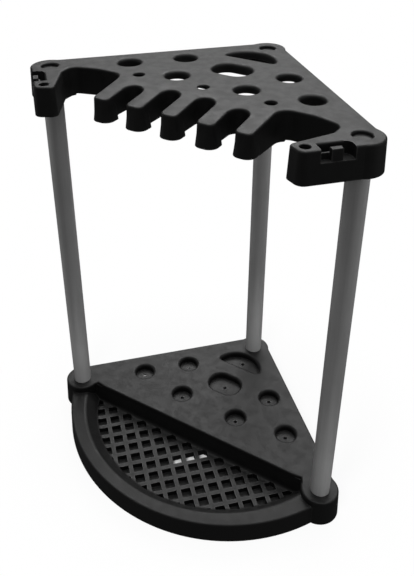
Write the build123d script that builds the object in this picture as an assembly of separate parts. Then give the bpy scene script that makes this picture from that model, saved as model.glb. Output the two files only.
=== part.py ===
from build123d import *
from math import sqrt
import os

os.makedirs("parts", exist_ok=True)

# ------------------------------------------------------------------ main sizes, mm
# Plan co-ordinates: the two front posts stand at (-POST, 0) and (POST, 0), the rear
# post at (0, POST); the curved front of the base swells towards -Y. Z = 0 is the ground.
POST = 250.0             # each post centre from the mid point between the front posts
BASE_TOP = 48.0          # deck of the base above the ground
SHELF_TOP = 690.0        # top face of the shelf above the ground
WALL = 3.5               # wall of both mouldings
DRAFT = 2.5              # degrees; the mouldings widen downwards
EDGE = 3.0               # rounding of the upper edges

# ------------------------------------------------------------------ posts and fixings
TUBE_R = 16.0
TUBE_WALL = 1.5
SOCKET_R = 16.2
SOCKET_OUT_R = 20.0
SOCKET_FLOOR = 4.0
PLUG_FLANGE = 2.0
PLUG_LONG = 22.0
SCREW_R = 2.0
SCREW_LONG = 20.0
HEAD_R = 5.0
HEAD_HIGH = 2.6

# ------------------------------------------------------------------ shelf
SHELF_DEEP = 45.0
FOOT_DEEP = 43.2         # lower ends of the finger feet
SLOT_WALL_DEEP = 38.0    # walls between the fingers, behind the feet
REAR_WALL_DEEP = 38.5    # rear skirts between the corners
BAY_WALL_DEEP = 42.5
BOSS_R = 29.5            # rounded corner around each post
REAR_OFFSET = 26.0       # rear edges outboard of the post centres
ARM_OFFSET = 28.0        # outer face of the arms outboard of the post centres
ARM_END = (206.0, -84.0)
ARM_TIP = (181.0, -70.0)
BAY_START = (216.5, -11.0)
BAY_CORNER = (218.0, 14.0)
BAY_CROWN = (178.0, 26.0)
COMB_CORNER = (129.0, 26.5)
COMB_HALF = 125.5
COMB_FRONT_Y = -54.0
COMB_DROP = 8.8          # fall of the comb from its crease to its tips
CREASE_Y = 14.0
CREASE_BLEND = 5.0
SLOT_R = 15.6
SLOT_END_Y = {28.0: 10.0, 85.0: 1.0}       # closed end of each slot, by distance from X = 0
TIP_ROUND = 8.0
FOOT_BACK_Y = -33.0      # each finger widens into a foot in front of this line
FOOT_START = 14.0        # depth at which the feet begin to widen
FOOT_TAPER = 7.0         # degrees
FOOT_ROUND = 10.0
RECESS_R = 12.8
RECESS_DEEP = 5.0
COLLAR_DEEP = 12.0
OUTER_COLLAR_DEEP = 20.0
OVAL_COLLAR_DEEP = 15.0
COLLAR_WALL = 2.5
RIB_DEEP = 12.0
SMALL_HOLES = [(-108.7, 37.0), (0.0, 41.5), (108.7, 37.0)]
SMALL_R = 8.3
ARM_HOLE = (202.8, -66.3)
ARM_HOLE_R = 6.8
NOTCH_FROM, NOTCH_TO = 111.0, 156.0        # along the arm, from the X = Y diagonal's foot
NOTCH_IN = 18.0          # inner wall of the notch, inwards from the outer face of the arm
NOTCH_DEEP = 17.0
NOTCH_EDGE = 3.0
NOTCH_CORNER = 9.0       # rounding of the inner corner next to the post
LEDGE_OUT, LEDGE_IN = 8.0, 10.5            # thin wall that stands in the notch
LEDGE_TOP = 8.0
TONGUE_FROM, TONGUE_TO = 125.0, 140.0
TONGUE_TOP = 0.8

# ------------------------------------------------------------------ openings shared by shelf and base
HANDLE_HOLES = [(x * s, y) for x, y in ((153.7, 75.5), (90.0, 138.3), (58.2, 62.9)) for s in (-1, 1)]
HANDLE_R = 17.3
OVAL_Y, OVAL_LONG, OVAL_SHORT, OVAL_CORNER = 128.0, 61.0, 46.0, 21.0
DEE_Y, DEE_CENTRE_Y, DEE_R, DEE_CORNER = 184.5, 177.5, 44.0, 5.0
HOLE_EDGE = 5.5

# ------------------------------------------------------------------ base
RIM_TOP = 36.5
FLOOR_TOP = 13.5         # tray floor
POCKET_DEEP = 9.5
WEB = 2.0                # floor of the pockets
ARC_Y, ARC_R = 122.5, 294.0                # outer edge of the curved front
TRAY_Y, TRAY_R, FLOOR_R = 107.0, 257.0, 235.0
DECK_FRONT_Y = 2.0
DECK_LEAN = 6.0          # the deck wall leans forward by this much at the tray floor
DECK_FILLET = 7.0        # foot of the deck wall
TRAY_FILLET = 12.0       # foot of the curved tray wall
RIM_EDGE = 8.0           # rounding between the curved tray wall and the rim
BASE_BOSS_R = 31.0
BASE_REAR_OFFSET = 28.5
NECK = [(215.0, 4.0), (227.5, -17.0)]      # straight side between deck edge and corner
CUP_DEEP = 12.0
CUP_FLOOR = 2.5
DRAIN_R = 3.4
GRID_PITCH = 23.7
GRID_HOLE = 16.6
GRID_START = -152.1
GRID_R = 236.0
GRID_REAR_Y = -6.0       # the rearmost pockets stop here, at the foot of the deck wall
OPEN_POCKETS = [(5, 5), (6, 5), (7, 5)]    # row and column of the pockets left open as drains
RIB = 2.5

POSTS = {"left": (-POST, 0.0), "right": (POST, 0.0), "rear": (0.0, POST)}
ROOT2 = sqrt(2.0)


# ------------------------------------------------------------------ helpers
def near(shape, spots):
    """Vertices of a sketch closest to the given plan positions and their mirror images."""
    spots = list(spots) + [(-x, y) for x, y in spots if x]
    return [min(shape.vertices(), key=lambda v: (v.X - x) ** 2 + (v.Y - y) ** 2) for x, y in spots]


def rounded(sketch, radius, *spots):
    return fillet(near(sketch, spots), radius)


def outboard(post, offset, sx, sy):
    """Foot of the 45 degree line that passes a post at the given distance."""
    return post[0] + sx * offset / ROOT2, post[1] + sy * offset / ROOT2


def mirrored_outline(right):
    return make_face(Polyline(*right, *[(-x, y) for x, y in reversed(right)], close=True))


def blend_spots(boss_r, offset):
    """Where the corner circles meet the straight rear edges."""
    half = sqrt(boss_r ** 2 - offset ** 2) / ROOT2
    f = offset / ROOT2
    return (f + half, POST + f - half), (POST + f - half, f + half)


def slab(sketch, top, bottom, taper=0.0):
    """Solid from a plan sketch at height `top`, widening downwards to `bottom`."""
    return extrude(Pos(0, 0, top) * sketch, amount=bottom - top, taper=-taper)


def disc(x, y, r):
    return Pos(x, y) * Circle(r)


def upper_edges(body, low, high):
    """Edges between an upward face and a steep face, in a band of heights."""
    found = []
    for e in body.edges():
        box = e.bounding_box()
        if box.min.Z < low or box.max.Z > high:
            continue
        up = [f.normal_at(f.center()).Z > 0.9 for f in body.faces() if any(k.is_same(e) for k in f.edges())]
        if sorted(up) == [False, True]:
            found.append(e)
    return found


def hole_outlines():
    """Handle holes, the oval and the D-shaped opening, in plan."""
    shapes = [disc(x, y, HANDLE_R) for x, y in HANDLE_HOLES]
    shapes.append(Pos(0, OVAL_Y) * RectangleRounded(OVAL_LONG, OVAL_SHORT, OVAL_CORNER))
    dee = disc(0, DEE_CENTRE_Y, DEE_R) & (Pos(0, DEE_Y + 50) * Rectangle(200, 100))
    shapes.append(rounded(dee, DEE_CORNER, (DEE_R, DEE_Y)))
    return shapes


def collar_depths():
    """Depth of the collar under each opening of the shelf, in the order of hole_outlines()."""
    round_holes = [OUTER_COLLAR_DEEP] * 2 + [COLLAR_DEEP] * (len(HANDLE_HOLES) - 2)
    return round_holes + [OVAL_COLLAR_DEEP, COLLAR_DEEP]


def grown(sketch, amount):
    return offset(sketch, amount, kind=Kind.ARC)


def opened(body, sketch, top, bottom, edge):
    """Cut a plan outline out of the body and round the upper edge of the cut."""
    body = body - slab(sketch, top + 1, bottom)
    wires = sketch.edges()
    mouth = [e for e in body.edges() if abs(e.center().Z - top) < 0.01
             and any((e.center() - Vector(w.center().X, w.center().Y, top)).length < 0.5 for w in wires)]
    return fillet(mouth, edge)


# ------------------------------------------------------------------ shelf
def shelf_plan():
    right = [outboard(POSTS["rear"], REAR_OFFSET, 1, 1), outboard(POSTS["right"], REAR_OFFSET, 1, 1),
             outboard(POSTS["right"], ARM_OFFSET, 1, -1), ARM_END, ARM_TIP, BAY_START, BAY_CORNER,
             BAY_CROWN, COMB_CORNER, (COMB_HALF, COMB_FRONT_Y)]
    s = mirrored_outline(right)
    for spot, radius in ((ARM_END, 11), (ARM_TIP, 8), (BAY_CORNER, 14), (BAY_CROWN, 60), (COMB_CORNER, 20)):
        s = rounded(s, radius, spot)
    for far, end_y in SLOT_END_Y.items():
        for x in (-far, far):
            mid = end_y - SLOT_R
            s -= disc(x, mid, SLOT_R)
            s -= Pos(x, (mid + COMB_FRONT_Y) / 2 - 5) * Rectangle(2 * SLOT_R, mid - COMB_FRONT_Y + 10)
    mouths = [(far + side * SLOT_R, COMB_FRONT_Y) for far in SLOT_END_Y for side in (-1, 1)]
    s = rounded(s, TIP_ROUND, (COMB_HALF, COMB_FRONT_Y), *mouths)
    for x, y in POSTS.values():
        s += disc(x, y, BOSS_R)
    return rounded(s, 14, *blend_spots(BOSS_R, REAR_OFFSET))


def above_comb(lower):
    """Space above the sloping comb, moved down by `lower`."""
    slope = COMB_DROP / (CREASE_Y - COMB_FRONT_Y)
    run = CREASE_BLEND / sqrt(1 + slope ** 2)
    far_y = COMB_FRONT_Y - 30
    start, end = (CREASE_Y + CREASE_BLEND, 0.0), (CREASE_Y - run, -slope * run)
    far = (far_y, -(CREASE_Y - far_y) * slope)
    lines = Curve() + [TangentArc(start, end, tangent=(-1, 0)), Line(end, far),
                       Polyline(far, (far_y, 30), (CREASE_Y + CREASE_BLEND, 30), start)]
    block = extrude(Plane.YZ * make_face(lines), amount=150, both=True)
    return Pos(0, 0, SHELF_TOP - lower) * block


def on_arm(side, shape):
    """Place a shape drawn with X along the arm and Y inwards from its outer face."""
    face = (POST + ARM_OFFSET * ROOT2) / ROOT2
    shape = Rot(0, 0, 45) * (Pos(0, -face, 0) * shape)
    return mirror(shape, Plane.YZ) if side < 0 else shape


def arm_block(side, start, stop, outer, inner, top, bottom):
    """Box laid along one arm; distances are along the arm and inwards from its outer face."""
    box = Pos((start + stop) / 2, (outer + inner) / 2) * Rectangle(stop - start, inner - outer)
    return on_arm(side, slab(box, SHELF_TOP - top, SHELF_TOP - bottom))


def finger_feet(inset, top, bottom):
    """Front ends of the five fingers, widening downwards; `inset` gives the hollow inside them."""
    bounds = sorted(s * (far + t * SLOT_R) for far in SLOT_END_Y for s in (-1, 1) for t in (-1, 1))
    bounds = [-COMB_HALF] + bounds + [COMB_HALF]
    plan = Sketch()
    for x0, x1 in zip(bounds[::2], bounds[1::2]):
        outline = Rectangle(x1 - x0, FOOT_BACK_Y - COMB_FRONT_Y)
        outline = fillet(outline.vertices().group_by(Axis.Y)[0], FOOT_ROUND)
        outline = fillet(outline.vertices().group_by(Axis.Y)[-1], 3)
        plan += Pos((x0 + x1) / 2, (FOOT_BACK_Y + COMB_FRONT_Y) / 2) * outline
    return slab(offset(plan, 0.4 - inset), SHELF_TOP - top, SHELF_TOP - bottom, FOOT_TAPER)


def notch_space(side):
    """Open notch in the outer face of an arm; its inner upper edge and inner corner are rounded."""
    deep, lip, far = NOTCH_DEEP, NOTCH_EDGE, NOTCH_IN + NOTCH_EDGE
    part_way = lip * (1 - 1 / ROOT2)
    profile = Curve() + [
        Polyline((-6, -deep), (-6, 1), (far, 1), (far, 0)),
        ThreePointArc((far, 0), (NOTCH_IN + part_way, -part_way), (NOTCH_IN, -lip)),
        Polyline((NOTCH_IN, -lip), (NOTCH_IN, -deep), (-6, -deep))]
    space = extrude(Plane.YZ * make_face(profile), amount=NOTCH_TO - NOTCH_FROM)
    space = Pos(NOTCH_FROM, 0, SHELF_TOP) * space
    round_x, round_y = NOTCH_TO - NOTCH_CORNER, NOTCH_IN - NOTCH_CORNER
    corner = make_face(Polyline((round_x, round_y), (NOTCH_TO + 1, round_y), (NOTCH_TO + 1, far + 1),
                                (round_x, far + 1), close=True))
    corner -= disc(round_x, round_y, NOTCH_CORNER)
    space -= slab(corner, SHELF_TOP + 2, SHELF_TOP - deep - 1)
    return on_arm(side, space)


def ledge(side):
    """Thin wall in the notch, beside the tongue."""
    return arm_block(side, NOTCH_FROM - 1, TONGUE_TO, LEDGE_OUT, LEDGE_IN, LEDGE_TOP, NOTCH_DEEP + 1)


def tongue(side):
    block = arm_block(side, TONGUE_FROM, TONGUE_TO, 0.4, LEDGE_OUT + 0.5, TONGUE_TOP, NOTCH_DEEP + 1)
    return fillet(block.edges().group_by(Axis.Z)[-1], 1.0)


def shelf_ribs():
    low, high = SHELF_TOP - RIB_DEEP, SHELF_TOP - 2
    ribs = []
    for y0, y1 in ((51, 104), (150, 184), (220, 232)):
        ribs.append(slab(Pos(0, (y0 + y1) / 2) * Rectangle(RIB, y1 - y0), high, low))
    for x in (-1, 1):
        for x0, x1, y in ((1, 40, 62.9), (76, 137, 69.0), (76, 232, 49.0)):
            ribs.append(slab(Pos(x * (x0 + x1) / 2, y) * Rectangle(x1 - x0, RIB), high, low))
    return ribs


def make_shelf():
    plan = shelf_plan()
    body = slab(plan, SHELF_TOP, SHELF_TOP - SHELF_DEEP, DRAFT)
    body -= above_comb(0)
    body = fillet(upper_edges(body, SHELF_TOP - 14, SHELF_TOP + 1), EDGE)

    # the finger feet, the walls between the fingers and the walls between the corners all
    # end at their own heights
    under = SHELF_TOP - SHELF_DEEP - 5
    feet = Pos(0, FOOT_BACK_Y - 17) * Rectangle(2 * COMB_HALF + 12, 34)
    body -= slab(feet, SHELF_TOP - FOOT_DEEP, under)
    between = Pos(0, (FOOT_BACK_Y + 22) / 2) * Rectangle(238, 22 - FOOT_BACK_Y)
    body -= slab(between, SHELF_TOP - SLOT_WALL_DEEP, under)
    for side in (-1, 1):
        body -= slab(Pos(side * 176, 24) * Rectangle(76, 24), SHELF_TOP - BAY_WALL_DEEP, under)
        middle = POST / 2 + REAR_OFFSET / ROOT2
        edge = Pos(side * middle, middle) * Rot(0, 0, -45 * side) * Rectangle(288, 24)
        body -= slab(edge, SHELF_TOP - REAR_WALL_DEEP, under)
    body += finger_feet(0, FOOT_START, FOOT_DEEP)

    inner = slab(offset(plan, -WALL), SHELF_TOP, SHELF_TOP - SHELF_DEEP - 2, DRAFT)
    inner += finger_feet(WALL, FOOT_START + 1, SHELF_DEEP)
    inner -= Pos(0, 100, SHELF_TOP) * Box(700, 500, 2 * WALL)
    inner -= above_comb(WALL)
    for side in (-1, 1):
        inner -= arm_block(side, NOTCH_FROM - WALL, NOTCH_TO + WALL, -6, NOTCH_IN + WALL,
                           -1, NOTCH_DEEP + WALL)
    for x, y in POSTS.values():
        inner -= slab(disc(x, y, SOCKET_OUT_R), SHELF_TOP, SHELF_TOP - SHELF_DEEP - 6)
    for hole, deep in zip(hole_outlines(), collar_depths()):
        inner -= slab(grown(hole, COLLAR_WALL), SHELF_TOP, SHELF_TOP - deep)
    for rib in shelf_ribs():
        inner -= rib
    body -= inner

    for hole, deep in zip(hole_outlines(), collar_depths()):
        body = opened(body, hole, SHELF_TOP, SHELF_TOP - deep - 1, HOLE_EDGE)
    for x, y in SMALL_HOLES:
        body = opened(body, disc(x, y, SMALL_R), SHELF_TOP, SHELF_TOP - 10, 2.2)
    for side in (-1, 1):
        body = opened(body, disc(side * ARM_HOLE[0], ARM_HOLE[1], ARM_HOLE_R), SHELF_TOP, SHELF_TOP - 10, 1.6)
        body -= notch_space(side)
        body += tongue(side) + ledge(side)
    for x, y in POSTS.values():
        body = opened(body, disc(x, y, RECESS_R), SHELF_TOP, SHELF_TOP - RECESS_DEEP, 3.0)
        body -= slab(disc(x, y, SOCKET_R), SHELF_TOP - RECESS_DEEP - SOCKET_FLOOR, SHELF_TOP - 60)
    return body


# ------------------------------------------------------------------ base
def deck_plan():
    right = [outboard(POSTS["rear"], BASE_REAR_OFFSET, 1, 1), outboard(POSTS["right"], BASE_REAR_OFFSET, 1, 1),
             POSTS["right"], NECK[1], NECK[0], (200.0, DECK_FRONT_Y)]
    s = mirrored_outline(right)
    for x, y in POSTS.values():
        s += disc(x, y, BASE_BOSS_R)
    return rounded(s, 12, *blend_spots(BASE_BOSS_R, BASE_REAR_OFFSET))


def front_plan():
    return disc(0, ARC_Y, ARC_R) & (Pos(0, -96) * Rectangle(2 * POST, 200))


def tray_space():
    """Round space of the tray, with a hollow at the foot of its wall and a soft edge at the rim."""
    high, far = RIM_TOP + 10, TRAY_R + 30
    profile = make_face(Polyline((0, FLOOR_TOP), (FLOOR_R, FLOOR_TOP), (TRAY_R, RIM_TOP), (far, RIM_TOP),
                                 (far, high), (0, high), close=True))
    for spot, radius in (((FLOOR_R, FLOOR_TOP), TRAY_FILLET), ((TRAY_R, RIM_TOP), RIM_EDGE)):
        profile = fillet(profile.vertices().sort_by_distance(spot)[0], radius)
    return Pos(0, TRAY_Y, 0) * revolve(Plane.XZ * profile, Axis.Z)


def tray_shell():
    """The same space one wall thickness larger, for the underside."""
    low, high = FLOOR_TOP - WALL, RIM_TOP + 10
    slope = (TRAY_R - FLOOR_R) / (RIM_TOP - FLOOR_TOP)
    cone = Cone(FLOOR_R + WALL, FLOOR_R + WALL + slope * (high - low), high - low,
                align=(Align.CENTER, Align.CENTER, Align.MIN))
    return Pos(0, TRAY_Y, low) * cone


def pockets():
    """Square pockets of the tray floor; the open ones go right through."""
    region = disc(0, TRAY_Y, GRID_R) & (Pos(0, GRID_REAR_Y - 150) * Rectangle(600, 300))
    squares, drains = Sketch(), Sketch()
    for i in range(13):
        for j in range(13):
            u, v = GRID_START + i * GRID_PITCH, -GRID_START - j * GRID_PITCH
            x, y = (u + v) / ROOT2, (u - v) / ROOT2
            if y < 0 and x ** 2 + (y - TRAY_Y) ** 2 < (GRID_R + 9) ** 2:
                square = Pos(x, y) * Rot(0, 0, 45) * Rectangle(GRID_HOLE, GRID_HOLE)
                squares += square
                if (i, j) in OPEN_POCKETS:
                    drains += square
    blind = slab(squares & region, FLOOR_TOP + 9, FLOOR_TOP - POCKET_DEEP)
    return blind + slab(drains & region, FLOOR_TOP, 0)


def base_ribs():
    low, high = 22.0, BASE_TOP - 2
    ribs = []
    for y0, y1 in ((2, 104), (150, 186), (220, 232)):
        ribs.append(slab(Pos(0, (y0 + y1) / 2) * Rectangle(RIB, y1 - y0), high, low))
    for x in (-1, 1):
        for x0, x1, y in ((2, 40, 62.9), (76, 137, 69.0), (2, 232, 22.0)):
            ribs.append(slab(Pos(x * (x0 + x1) / 2, y) * Rectangle(x1 - x0, RIB), high, low))
    return ribs


def make_base():
    deck, front = deck_plan(), front_plan()
    rim = slab(front, RIM_TOP, 0, DRAFT)
    rim = fillet([e for e in upper_edges(rim, RIM_TOP - 1, RIM_TOP + 1) if e.length > 300], EDGE)
    rim -= tray_space()
    foot_y = DECK_FRONT_Y - DECK_LEAN
    lean = make_face(Polyline((DECK_FRONT_Y, BASE_TOP - 5), (foot_y, FLOOR_TOP), (foot_y - 20, FLOOR_TOP),
                              (foot_y - 20, FLOOR_TOP - 1), (DECK_FRONT_Y + 4, FLOOR_TOP - 1),
                              (DECK_FRONT_Y + 4, BASE_TOP - 5), close=True))
    lean = fillet(lean.vertices().sort_by_distance((foot_y, FLOOR_TOP))[0], DECK_FILLET)
    upper = slab(deck, BASE_TOP, 0, DRAFT)
    upper = fillet(upper_edges(upper, BASE_TOP - 1, BASE_TOP + 1), EDGE)
    body = rim + upper + extrude(Plane.YZ * lean, amount=217, both=True)

    inner = slab(offset(deck, -WALL), BASE_TOP, -2, DRAFT) - Pos(0, 100, BASE_TOP) * Box(700, 500, 2 * WALL)
    for x, y in POSTS.values():
        inner -= slab(disc(x, y, SOCKET_OUT_R), BASE_TOP, 8)
    for hole in hole_outlines():
        inner -= slab(grown(hole, COLLAR_WALL), BASE_TOP, BASE_TOP - CUP_DEEP - CUP_FLOOR)
    for rib in base_ribs():
        inner -= rib
    below_tray = slab(offset(front, -WALL), RIM_TOP - WALL, -2, DRAFT) - tray_shell()
    below_tray -= slab(disc(0, TRAY_Y, GRID_R + 2), RIM_TOP, FLOOR_TOP - POCKET_DEEP - WEB)
    below_tray -= slab(deck, RIM_TOP, -3, DRAFT)
    body = body - inner - below_tray
    body -= pockets()

    for hole in hole_outlines():
        body = opened(body, hole, BASE_TOP, BASE_TOP - CUP_DEEP, HOLE_EDGE)
    drains = HANDLE_HOLES + [(0.0, OVAL_Y), (0.0, (DEE_Y + DEE_CENTRE_Y + DEE_R) / 2)]
    for x, y in drains:
        body -= slab(disc(x, y, DRAIN_R), BASE_TOP, 20)
    for x, y in POSTS.values():
        body = opened(body, disc(x, y, SOCKET_R), BASE_TOP, 8 + SOCKET_FLOOR, 0.8)
        body -= slab(disc(x, y, SCREW_R + 0.3), BASE_TOP, 0)
    return body


# ------------------------------------------------------------------ posts, plugs and screws
TUBE_LOW = 8 + SOCKET_FLOOR + PLUG_FLANGE
TUBE_HIGH = SHELF_TOP - RECESS_DEEP - SOCKET_FLOOR - PLUG_FLANGE


def make_post():
    tube = slab(Circle(TUBE_R) - Circle(TUBE_R - TUBE_WALL), TUBE_HIGH, TUBE_LOW)
    return chamfer(tube.edges(), 0.4)


def make_plug():
    """Plug with its flange face at Z = 0 and its body hanging down into the tube."""
    plug = slab(Circle(TUBE_R - 0.2), 0, -PLUG_FLANGE)
    plug += slab(Circle(TUBE_R - TUBE_WALL - 0.1), -1, -PLUG_LONG)
    for k in range(4):
        pocket = Rot(0, 0, 90 * k) * (Pos(8.8, 0) * Circle(3.2))
        plug -= slab(pocket, -PLUG_FLANGE - 1, -PLUG_LONG - 1)
    return plug - slab(Circle(SCREW_R + 0.05), 1, -PLUG_LONG - 1)


def make_screw():
    """Flanged pan head screw, seat of the head at Z = 0."""
    head = fillet(slab(Circle(HEAD_R), HEAD_HIGH, 0).edges().group_by(Axis.Z)[-1], 1.4)
    for turn in (0, 90):
        head -= Pos(0, 0, HEAD_HIGH) * Rot(0, 0, turn) * Box(5.2, 1.1, 2.4)
    shank = slab(Circle(SCREW_R), 0.5, -SCREW_LONG)
    tip = Pos(0, 0, -SCREW_LONG) * Cone(0.4, SCREW_R, 3, align=(Align.CENTER, Align.CENTER, Align.MAX))
    return head + shank + tip


def make_all():
    pieces = {"top_shelf": make_shelf(), "base": make_base()}
    flip = Rot(180, 0, 0)
    for name, (x, y) in POSTS.items():
        pieces["post_" + name] = Pos(x, y, 0) * make_post()
        pieces["plug_upper_" + name] = Pos(x, y, TUBE_HIGH + PLUG_FLANGE) * make_plug()
        pieces["plug_lower_" + name] = Pos(x, y, TUBE_LOW - PLUG_FLANGE) * flip * make_plug()
        pieces["screw_" + name] = Pos(x, y, 8) * flip * make_screw()
    return pieces


pieces = make_all()
low_y = min(p.bounding_box().min.Y for p in pieces.values())
high_y = max(p.bounding_box().max.Y for p in pieces.values())
for name, piece in pieces.items():
    piece = Pos(0, -(low_y + high_y) / 2, 0) * piece
    export_step(piece, "parts/" + name + ".step")
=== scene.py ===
import bpy
from mathutils import Matrix, Vector


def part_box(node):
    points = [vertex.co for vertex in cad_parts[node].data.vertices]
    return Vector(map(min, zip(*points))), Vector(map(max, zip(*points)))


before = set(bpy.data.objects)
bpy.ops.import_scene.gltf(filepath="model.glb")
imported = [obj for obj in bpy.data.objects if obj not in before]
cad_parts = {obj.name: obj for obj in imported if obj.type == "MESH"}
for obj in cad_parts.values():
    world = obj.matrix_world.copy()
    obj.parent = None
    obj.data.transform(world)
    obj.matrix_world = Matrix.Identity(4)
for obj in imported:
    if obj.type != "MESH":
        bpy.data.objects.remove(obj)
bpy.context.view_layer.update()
scene = bpy.context.scene
scene.view_settings.view_transform = "Standard"
scene.view_settings.look = "None"

# ------------------------------------------------------------------ camera
CAMERA_AT = (0.4767, -0.8254, 1.0469)
BACK = Vector((0.4488, -0.7557, 0.4771)).normalized()      # from the scene towards the camera
SENSOR, LENS = 36.0, 43.80625         # in mm
SHIFT = (0.0121528, -0.1840278)       # of the frame, in image heights
cam = bpy.data.objects.new("camera", bpy.data.cameras.new("camera"))
scene.collection.objects.link(cam)
scene.camera = cam
right = Vector((0, 0, 1)).cross(BACK).normalized()
up = BACK.cross(right)
turn = Matrix((right, up, BACK)).transposed()
cam.matrix_world = Matrix.Translation(CAMERA_AT) @ turn.to_4x4()
cam.data.sensor_width, cam.data.lens = SENSOR, LENS
cam.data.shift_x, cam.data.shift_y = SHIFT
cam.data.clip_start, cam.data.clip_end = 0.05, 50.0


# ------------------------------------------------------------------ light
def softbox(name, at, aim, size, power, only=None):
    """Rectangular area light; `only` limits it to the objects of one collection."""
    light = bpy.data.lights.new(name, "AREA")
    light.shape, light.size, light.size_y, light.energy = "RECTANGLE", size[0], size[1], power
    ob = bpy.data.objects.new(name, light)
    scene.collection.objects.link(ob)
    ob.location = at
    ob.rotation_euler = (Vector(at) - Vector(aim)).to_track_quat("Z", "Y").to_euler()
    ob.visible_camera = False
    if only is not None:
        ob.light_linking.receiver_collection = only


posts = bpy.data.collections.new("posts")
for name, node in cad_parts.items():
    if name.startswith("post"):
        posts.objects.link(node)

softbox("key", (-0.1, 0.5, 4.0), (0, 0.05, 0.3), (3.6, 3.2), 66.0)
softbox("back", (-1.45, 3.1, 3.3), (0, 0, 0.3), (3.6, 1.6), 80.0)
softbox("left_strip", (-2.2, -0.7, 0.8), (0, -0.1, 0.4), (0.4, 1.4), 1.6)
softbox("right_strip", (2.0, 0.5, 0.9), (0, 0, 0.4), (0.4, 1.4), 1.6)
softbox("post_left_strip", (-1.7, -0.7, 1.1), (-0.25, -0.05, 0.6), (0.3, 1.0), 2.6, only=posts)
softbox("post_right_strip", (1.6, 0.15, 1.1), (0.25, -0.05, 0.6), (0.3, 1.0), 2.8, only=posts)
# light that the pale floor throws back on the posts
softbox("bounce_front", (0.45, -0.55, 0.02), (0.45, -0.55, 1.0), (0.7, 0.5), 0.4, only=posts)
softbox("bounce_left", (-0.62, -0.1, 0.02), (-0.62, -0.1, 1.0), (0.5, 0.7), 0.3, only=posts)
softbox("bounce_rear", (0.0, 0.7, 0.02), (0.0, 0.7, 1.0), (1.2, 0.6), 0.6, only=posts)
# small lights that lift the lower and upper ends of each post
for name in [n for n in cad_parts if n.startswith("post")]:
    low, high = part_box(name)
    x, y = (low[0] + high[0]) / 2, (low[1] + high[1]) / 2
    softbox("foot_" + name, (x + 0.10, y - 0.12, 0.11), (x, y, 0.09), (0.08, 0.04), 0.045, only=posts)
    side = -1.0 if name == "post_left" else 1.0
    softbox("head_" + name, (x + side * 0.22, y + side * 0.13, 0.60), (x, y, 0.56), (0.06, 0.16), 0.06,
            only=posts)

# light on the paper that shows through the open drains of the tray
paper = bpy.data.collections.new("paper")
softbox("drain_light", (0.15, -0.85, 1.1), (0.0, -0.15, 0.0), (0.3, 0.3), 10.0, only=paper)


def studio_world():
    """White to the camera, dim to the object, and dimmer still in its reflections."""
    world = bpy.data.worlds.new("studio")
    scene.world = world
    world.use_nodes = True
    nodes, links = world.node_tree.nodes, world.node_tree.links
    nodes.clear()
    path = nodes.new("ShaderNodeLightPath")

    def sky(strength):
        node = nodes.new("ShaderNodeBackground")
        node.inputs["Color"].default_value = (1, 1, 1, 1)
        node.inputs["Strength"].default_value = strength
        return node.outputs[0]

    def choose(ray, otherwise, chosen):
        node = nodes.new("ShaderNodeMixShader")
        links.new(path.outputs[ray], node.inputs[0])
        links.new(otherwise, node.inputs[1])
        links.new(chosen, node.inputs[2])
        return node.outputs[0]

    seen = choose("Is Camera Ray", choose("Is Glossy Ray", sky(0.12), sky(0.05)), sky(1.0))
    links.new(seen, nodes.new("ShaderNodeOutputWorld").inputs[0])


studio_world()


# ------------------------------------------------------------------ node helper
class Nodes:
    """A material's node tree with short calls to add and link nodes."""

    def __init__(self, name):
        self.material = bpy.data.materials.new(name)
        self.material.use_nodes = True
        self.tree = self.material.node_tree
        self.shader = self.tree.nodes["Principled BSDF"]

    def add(self, kind, inputs=(), **settings):
        node = self.tree.nodes.new("ShaderNode" + kind)
        for k, v in settings.items():
            setattr(node, k, v)
        for k, v in dict(inputs).items():
            self.set(node.inputs[k], v)
        return node

    def set(self, socket, value):
        if isinstance(value, bpy.types.NodeSocket):
            self.tree.links.new(value, socket)
        else:
            socket.default_value = value

    def noise(self, scale, detail=3.0, rough=0.5, vector=None):
        inputs = {"Scale": scale, "Detail": detail, "Roughness": rough}
        if vector is not None:
            inputs["Vector"] = vector
        return self.add("TexNoise", inputs).outputs["Fac"]

    def spread(self, value, low, high, to_low, to_high, kind="SMOOTHSTEP"):
        node = self.add("MapRange", {"Value": value, "From Min": low, "From Max": high,
                                     "To Min": to_low, "To Max": to_high}, interpolation_type=kind)
        return node.outputs["Result"]

    def math(self, op, a, b=0.0):
        node = self.add("Math", operation=op)
        self.set(node.inputs[0], a)
        self.set(node.inputs[1], b)
        return node.outputs[0]

    def mix(self, factor, a, b):
        node = self.add("Mix", data_type="RGBA")
        self.set(node.inputs[0], factor)
        self.set(node.inputs[6], a)
        self.set(node.inputs[7], b)
        return node.outputs[2]

    def bump(self, height, strength, distance, under=None):
        node = self.add("Bump", {"Height": height, "Strength": strength, "Distance": distance})
        if under is not None:
            self.set(node.inputs["Normal"], under)
        return node.outputs["Normal"]


def grey(v):
    return (v, v, v, 1.0)


# ------------------------------------------------------------------ floor
PLAN_Y = 0.055           # the line through the front posts lies at y = -PLAN_Y
ARC_Y, ARC_R = 0.1225, 0.294          # curved front edge: centre behind that line, and radius
REAR_EDGE = 0.2903       # |x| + y on the straight rear edges, with y from that line
INSET = 0.004            # the shaded paper starts this far inside the edge of the base
SEAM = 0.002             # over which the front and rear parts of the shade join
FADE_FROM, FADE_TO = 0.2, 0.45        # distance at which the paper turns plain white
NEAR_WHITE = 0.9         # how white it is before that


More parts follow.
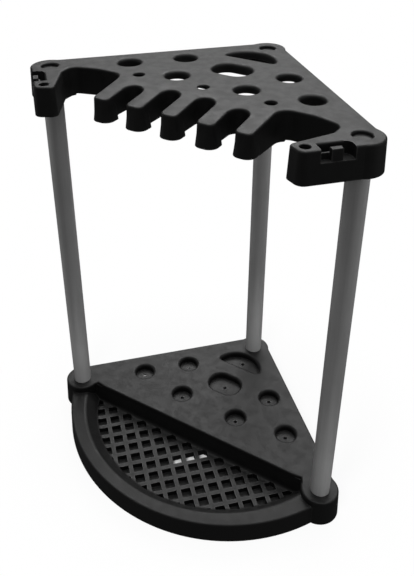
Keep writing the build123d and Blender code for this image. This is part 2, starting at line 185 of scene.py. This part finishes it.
def studio_floor():
    """Pale paper, plain white to the eye except under the base, where it lies in real shade."""
    half = 1.5                        # of the floor's side, in metres
    mesh = bpy.data.meshes.new("floor")
    corners = [(-half, -half, 0), (half, -half, 0), (half, half, 0), (-half, half, 0)]
    mesh.from_pydata(corners, [], [(0, 1, 2, 3)])
    floor = bpy.data.objects.new("floor", mesh)
    scene.collection.objects.link(floor)
    paper.objects.link(floor)
    m = Nodes("floor_paper")
    m.shader.inputs["Base Color"].default_value = grey(0.85)
    m.shader.inputs["Roughness"].default_value = 0.9
    place = m.add("TexCoord").outputs["Object"]
    xyz = m.add("SeparateXYZ", {"Vector": place}).outputs
    plan_y = m.math("ADD", xyz["Y"], PLAN_Y)
    offset = m.add("VectorMath", operation="SUBTRACT")
    m.set(offset.inputs[0], place)
    offset.inputs[1].default_value = (0.0, ARC_Y - PLAN_Y, 0.0)
    away = m.add("VectorMath", operation="LENGTH")
    m.set(away.inputs[0], offset.outputs["Vector"])
    front = m.math("MULTIPLY",
                   m.spread(away.outputs["Value"], ARC_R - INSET, ARC_R - 2 * INSET, 0.0, 1.0),
                   m.spread(plan_y, 0.0, -SEAM, 0.0, 1.0))
    slant = m.math("ADD", m.math("ABSOLUTE", xyz["X"]), plan_y)
    rear = m.math("MULTIPLY",
                  m.spread(slant, REAR_EDGE - 1.5 * INSET, REAR_EDGE - 3 * INSET, 0.0, 1.0),
                  m.spread(plan_y, -SEAM, 0.0, 0.0, 1.0))
    shade = m.math("MAXIMUM", front, rear)
    radius = m.add("VectorMath", operation="LENGTH")
    m.set(radius.inputs[0], place)
    white = m.spread(radius.outputs["Value"], FADE_FROM, FADE_TO, NEAR_WHITE, 1.0)
    white = m.math("MULTIPLY", white, m.math("SUBTRACT", 1.0, shade))
    mix = m.add("MixShader")
    m.set(mix.inputs[0], white)
    m.set(mix.inputs[1], m.shader.outputs[0])
    m.set(mix.inputs[2], m.add("Emission").outputs[0])
    m.set(m.tree.nodes["Material Output"].inputs[0], mix.outputs[0])
    floor.data.materials.append(m.material)
    floor.visible_glossy = False
    floor.visible_diffuse = False


studio_floor()


# ------------------------------------------------------------------ materials
def edge_mask(m, radius, sharpest):
    """1 along edges that are tighter than the radius, falling to 0 on flat faces."""
    soft = m.add("Bevel", {"Radius": radius}, samples=6).outputs["Normal"]
    flat = m.add("NewGeometry").outputs["Normal"]
    dot = m.add("VectorMath", operation="DOT_PRODUCT")
    m.set(dot.inputs[0], soft)
    m.set(dot.inputs[1], flat)
    return m.spread(dot.outputs["Value"], 0.998, sharpest, 0.0, 1.0)


def up_mask(m, start=0.75):
    """1 on faces that look up, where dust settles."""
    z = m.add("SeparateXYZ", {"Vector": m.add("NewGeometry").outputs["Normal"]}).outputs["Z"]
    return m.spread(z, start, 0.98, 0.0, 1.0)


def moulded_plastic():
    """Black polypropylene with a fine spark-eroded texture, faint flow marks, and edges lightened
    partly by rubbed wear and partly as a painted highlight.
    """
    m = Nodes("moulded_plastic")
    place = m.add("TexCoord").outputs["Object"]
    flow = m.noise(7.0, 3.0, 0.55, place)
    mottle = m.noise(70.0, 5.0, 0.62, place)
    grain = m.noise(900.0, 3.0, 0.65, place)
    speck = m.noise(420.0, 2.0, 0.5, place)
    tone = m.math("ADD", m.spread(flow, 0.3, 0.7, -0.15, 0.15),
                  m.spread(mottle, 0.3, 0.7, -0.2, 0.2))
    tone = m.math("ADD", tone, m.spread(grain, 0.3, 0.7, -0.3, 0.3))
    colour = m.mix(m.spread(tone, -0.8, 0.8, 0.0, 1.0, "LINEAR"), grey(0.010), grey(0.018))
    dust = m.math("MULTIPLY", up_mask(m), m.spread(mottle, 0.42, 0.75, 0.0, 0.09))
    dust = m.math("ADD", dust, m.math("MULTIPLY", up_mask(m), m.spread(speck, 0.68, 0.76, 0.0, 0.35)))
    colour = m.mix(dust, colour, (0.085, 0.083, 0.079, 1.0))
    # Edges and rims lightened towards grey 0.075: partly rubbed wear, partly a painted highlight; the
    # same mask also makes them glossier.
    worn_edge_and_highlight = m.math("MULTIPLY", edge_mask(m, 0.003, 0.9), m.spread(mottle, 0.35, 0.6, 0.25, 0.9))
    colour = m.mix(worn_edge_and_highlight, colour, grey(0.075))
    m.set(m.shader.inputs["Base Color"], colour)
    rough = m.math("ADD", m.spread(mottle, 0.3, 0.7, 0.46, 0.56),
                   m.spread(grain, 0.3, 0.7, -0.04, 0.04))
    rough = m.math("ADD", rough, m.math("MULTIPLY", worn_edge_and_highlight, -0.12))
    rough = m.math("ADD", rough, m.math("MULTIPLY", dust, 0.3))
    m.set(m.shader.inputs["Roughness"], rough)
    m.shader.inputs["Specular IOR Level"].default_value = 0.5
    wave = m.bump(flow, 0.05, 0.002)
    m.set(m.shader.inputs["Normal"], m.bump(grain, 0.35, 0.00025, wave))
    return m.material


def coated_tube():
    """Satin powder coat over steel tube: orange peel, faint draw lines and small handling marks."""
    m = Nodes("coated_tube")
    place = m.add("TexCoord").outputs["Object"]
    stretched = m.add("Mapping", {"Vector": place, "Scale": (1.0, 1.0, 0.03)}).outputs["Vector"]
    peel = m.noise(520.0, 2.0, 0.5, place)
    cloud = m.noise(9.0, 4.0, 0.6, place)
    lines = m.noise(380.0, 3.0, 0.6, stretched)
    speck = m.noise(260.0, 3.0, 0.6, place)
    tone = m.math("ADD", m.spread(cloud, 0.3, 0.7, -0.5, 0.5), m.spread(lines, 0.35, 0.65, -0.25, 0.25))
    colour = m.mix(m.spread(tone, -0.75, 0.75, 0.0, 1.0, "LINEAR"), grey(0.36), grey(0.42))
    mark = m.spread(speck, 0.70, 0.76, 0.0, 0.35)
    m.set(m.shader.inputs["Base Color"], m.mix(mark, colour, grey(0.22)))
    rough = m.math("ADD", m.spread(cloud, 0.3, 0.7, 0.42, 0.5),
                   m.spread(lines, 0.35, 0.65, -0.03, 0.03))
    m.set(m.shader.inputs["Roughness"], rough)
    m.shader.inputs["Specular IOR Level"].default_value = 0.4
    m.set(m.shader.inputs["Normal"], m.bump(lines, 0.06, 0.0002, m.bump(peel, 0.16, 0.0003)))
    return m.material


def soft_plastic():
    """Black polyethylene of the tube plugs, smoother than the mouldings and lightly scuffed."""
    m = Nodes("plug_plastic")
    place = m.add("TexCoord").outputs["Object"]
    cloud = m.noise(120.0, 3.0, 0.6, place)
    scuff = m.noise(700.0, 4.0, 0.7, place)
    colour = m.mix(m.spread(cloud, 0.3, 0.7, 0.0, 1.0), grey(0.025), grey(0.04))
    colour = m.mix(m.spread(scuff, 0.6, 0.75, 0.0, 0.5), colour, grey(0.075))
    m.set(m.shader.inputs["Base Color"], colour)
    m.set(m.shader.inputs["Roughness"], m.spread(cloud, 0.3, 0.7, 0.34, 0.46))
    m.set(m.shader.inputs["Normal"], m.bump(scuff, 0.15, 0.0002))
    return m.material


def steel():
    """Bright zinc plate with spangle and tarnish in patches."""
    m = Nodes("zinc_steel")
    place = m.add("TexCoord").outputs["Object"]
    spangle = m.add("TexVoronoi", {"Vector": place, "Scale": 900.0}).outputs["Color"]
    brushed = m.noise(1400.0, 3.0, 0.6, place)
    patch = m.noise(240.0, 3.0, 0.6, place)
    colour = m.mix(brushed, grey(0.48), grey(0.66))
    colour = m.mix(m.spread(patch, 0.5, 0.72, 0.0, 0.6), colour, (0.40, 0.36, 0.28, 1.0))
    m.set(m.shader.inputs["Base Color"], m.mix(0.08, colour, spangle))
    m.shader.inputs["Metallic"].default_value = 1.0
    m.set(m.shader.inputs["Roughness"], m.spread(patch, 0.3, 0.7, 0.26, 0.44))
    m.set(m.shader.inputs["Normal"], m.bump(brushed, 0.2, 0.0001))
    return m.material


def dress(node, material):
    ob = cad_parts[node]
    if ob.data.materials:
        ob.data.materials[0] = material
    else:
        ob.data.materials.append(material)


plastic = moulded_plastic()
finishes = {"post": coated_tube(), "screw": steel(), "plug": soft_plastic()}
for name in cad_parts:
    dress(name, finishes.get(name.split("_")[0], plastic))
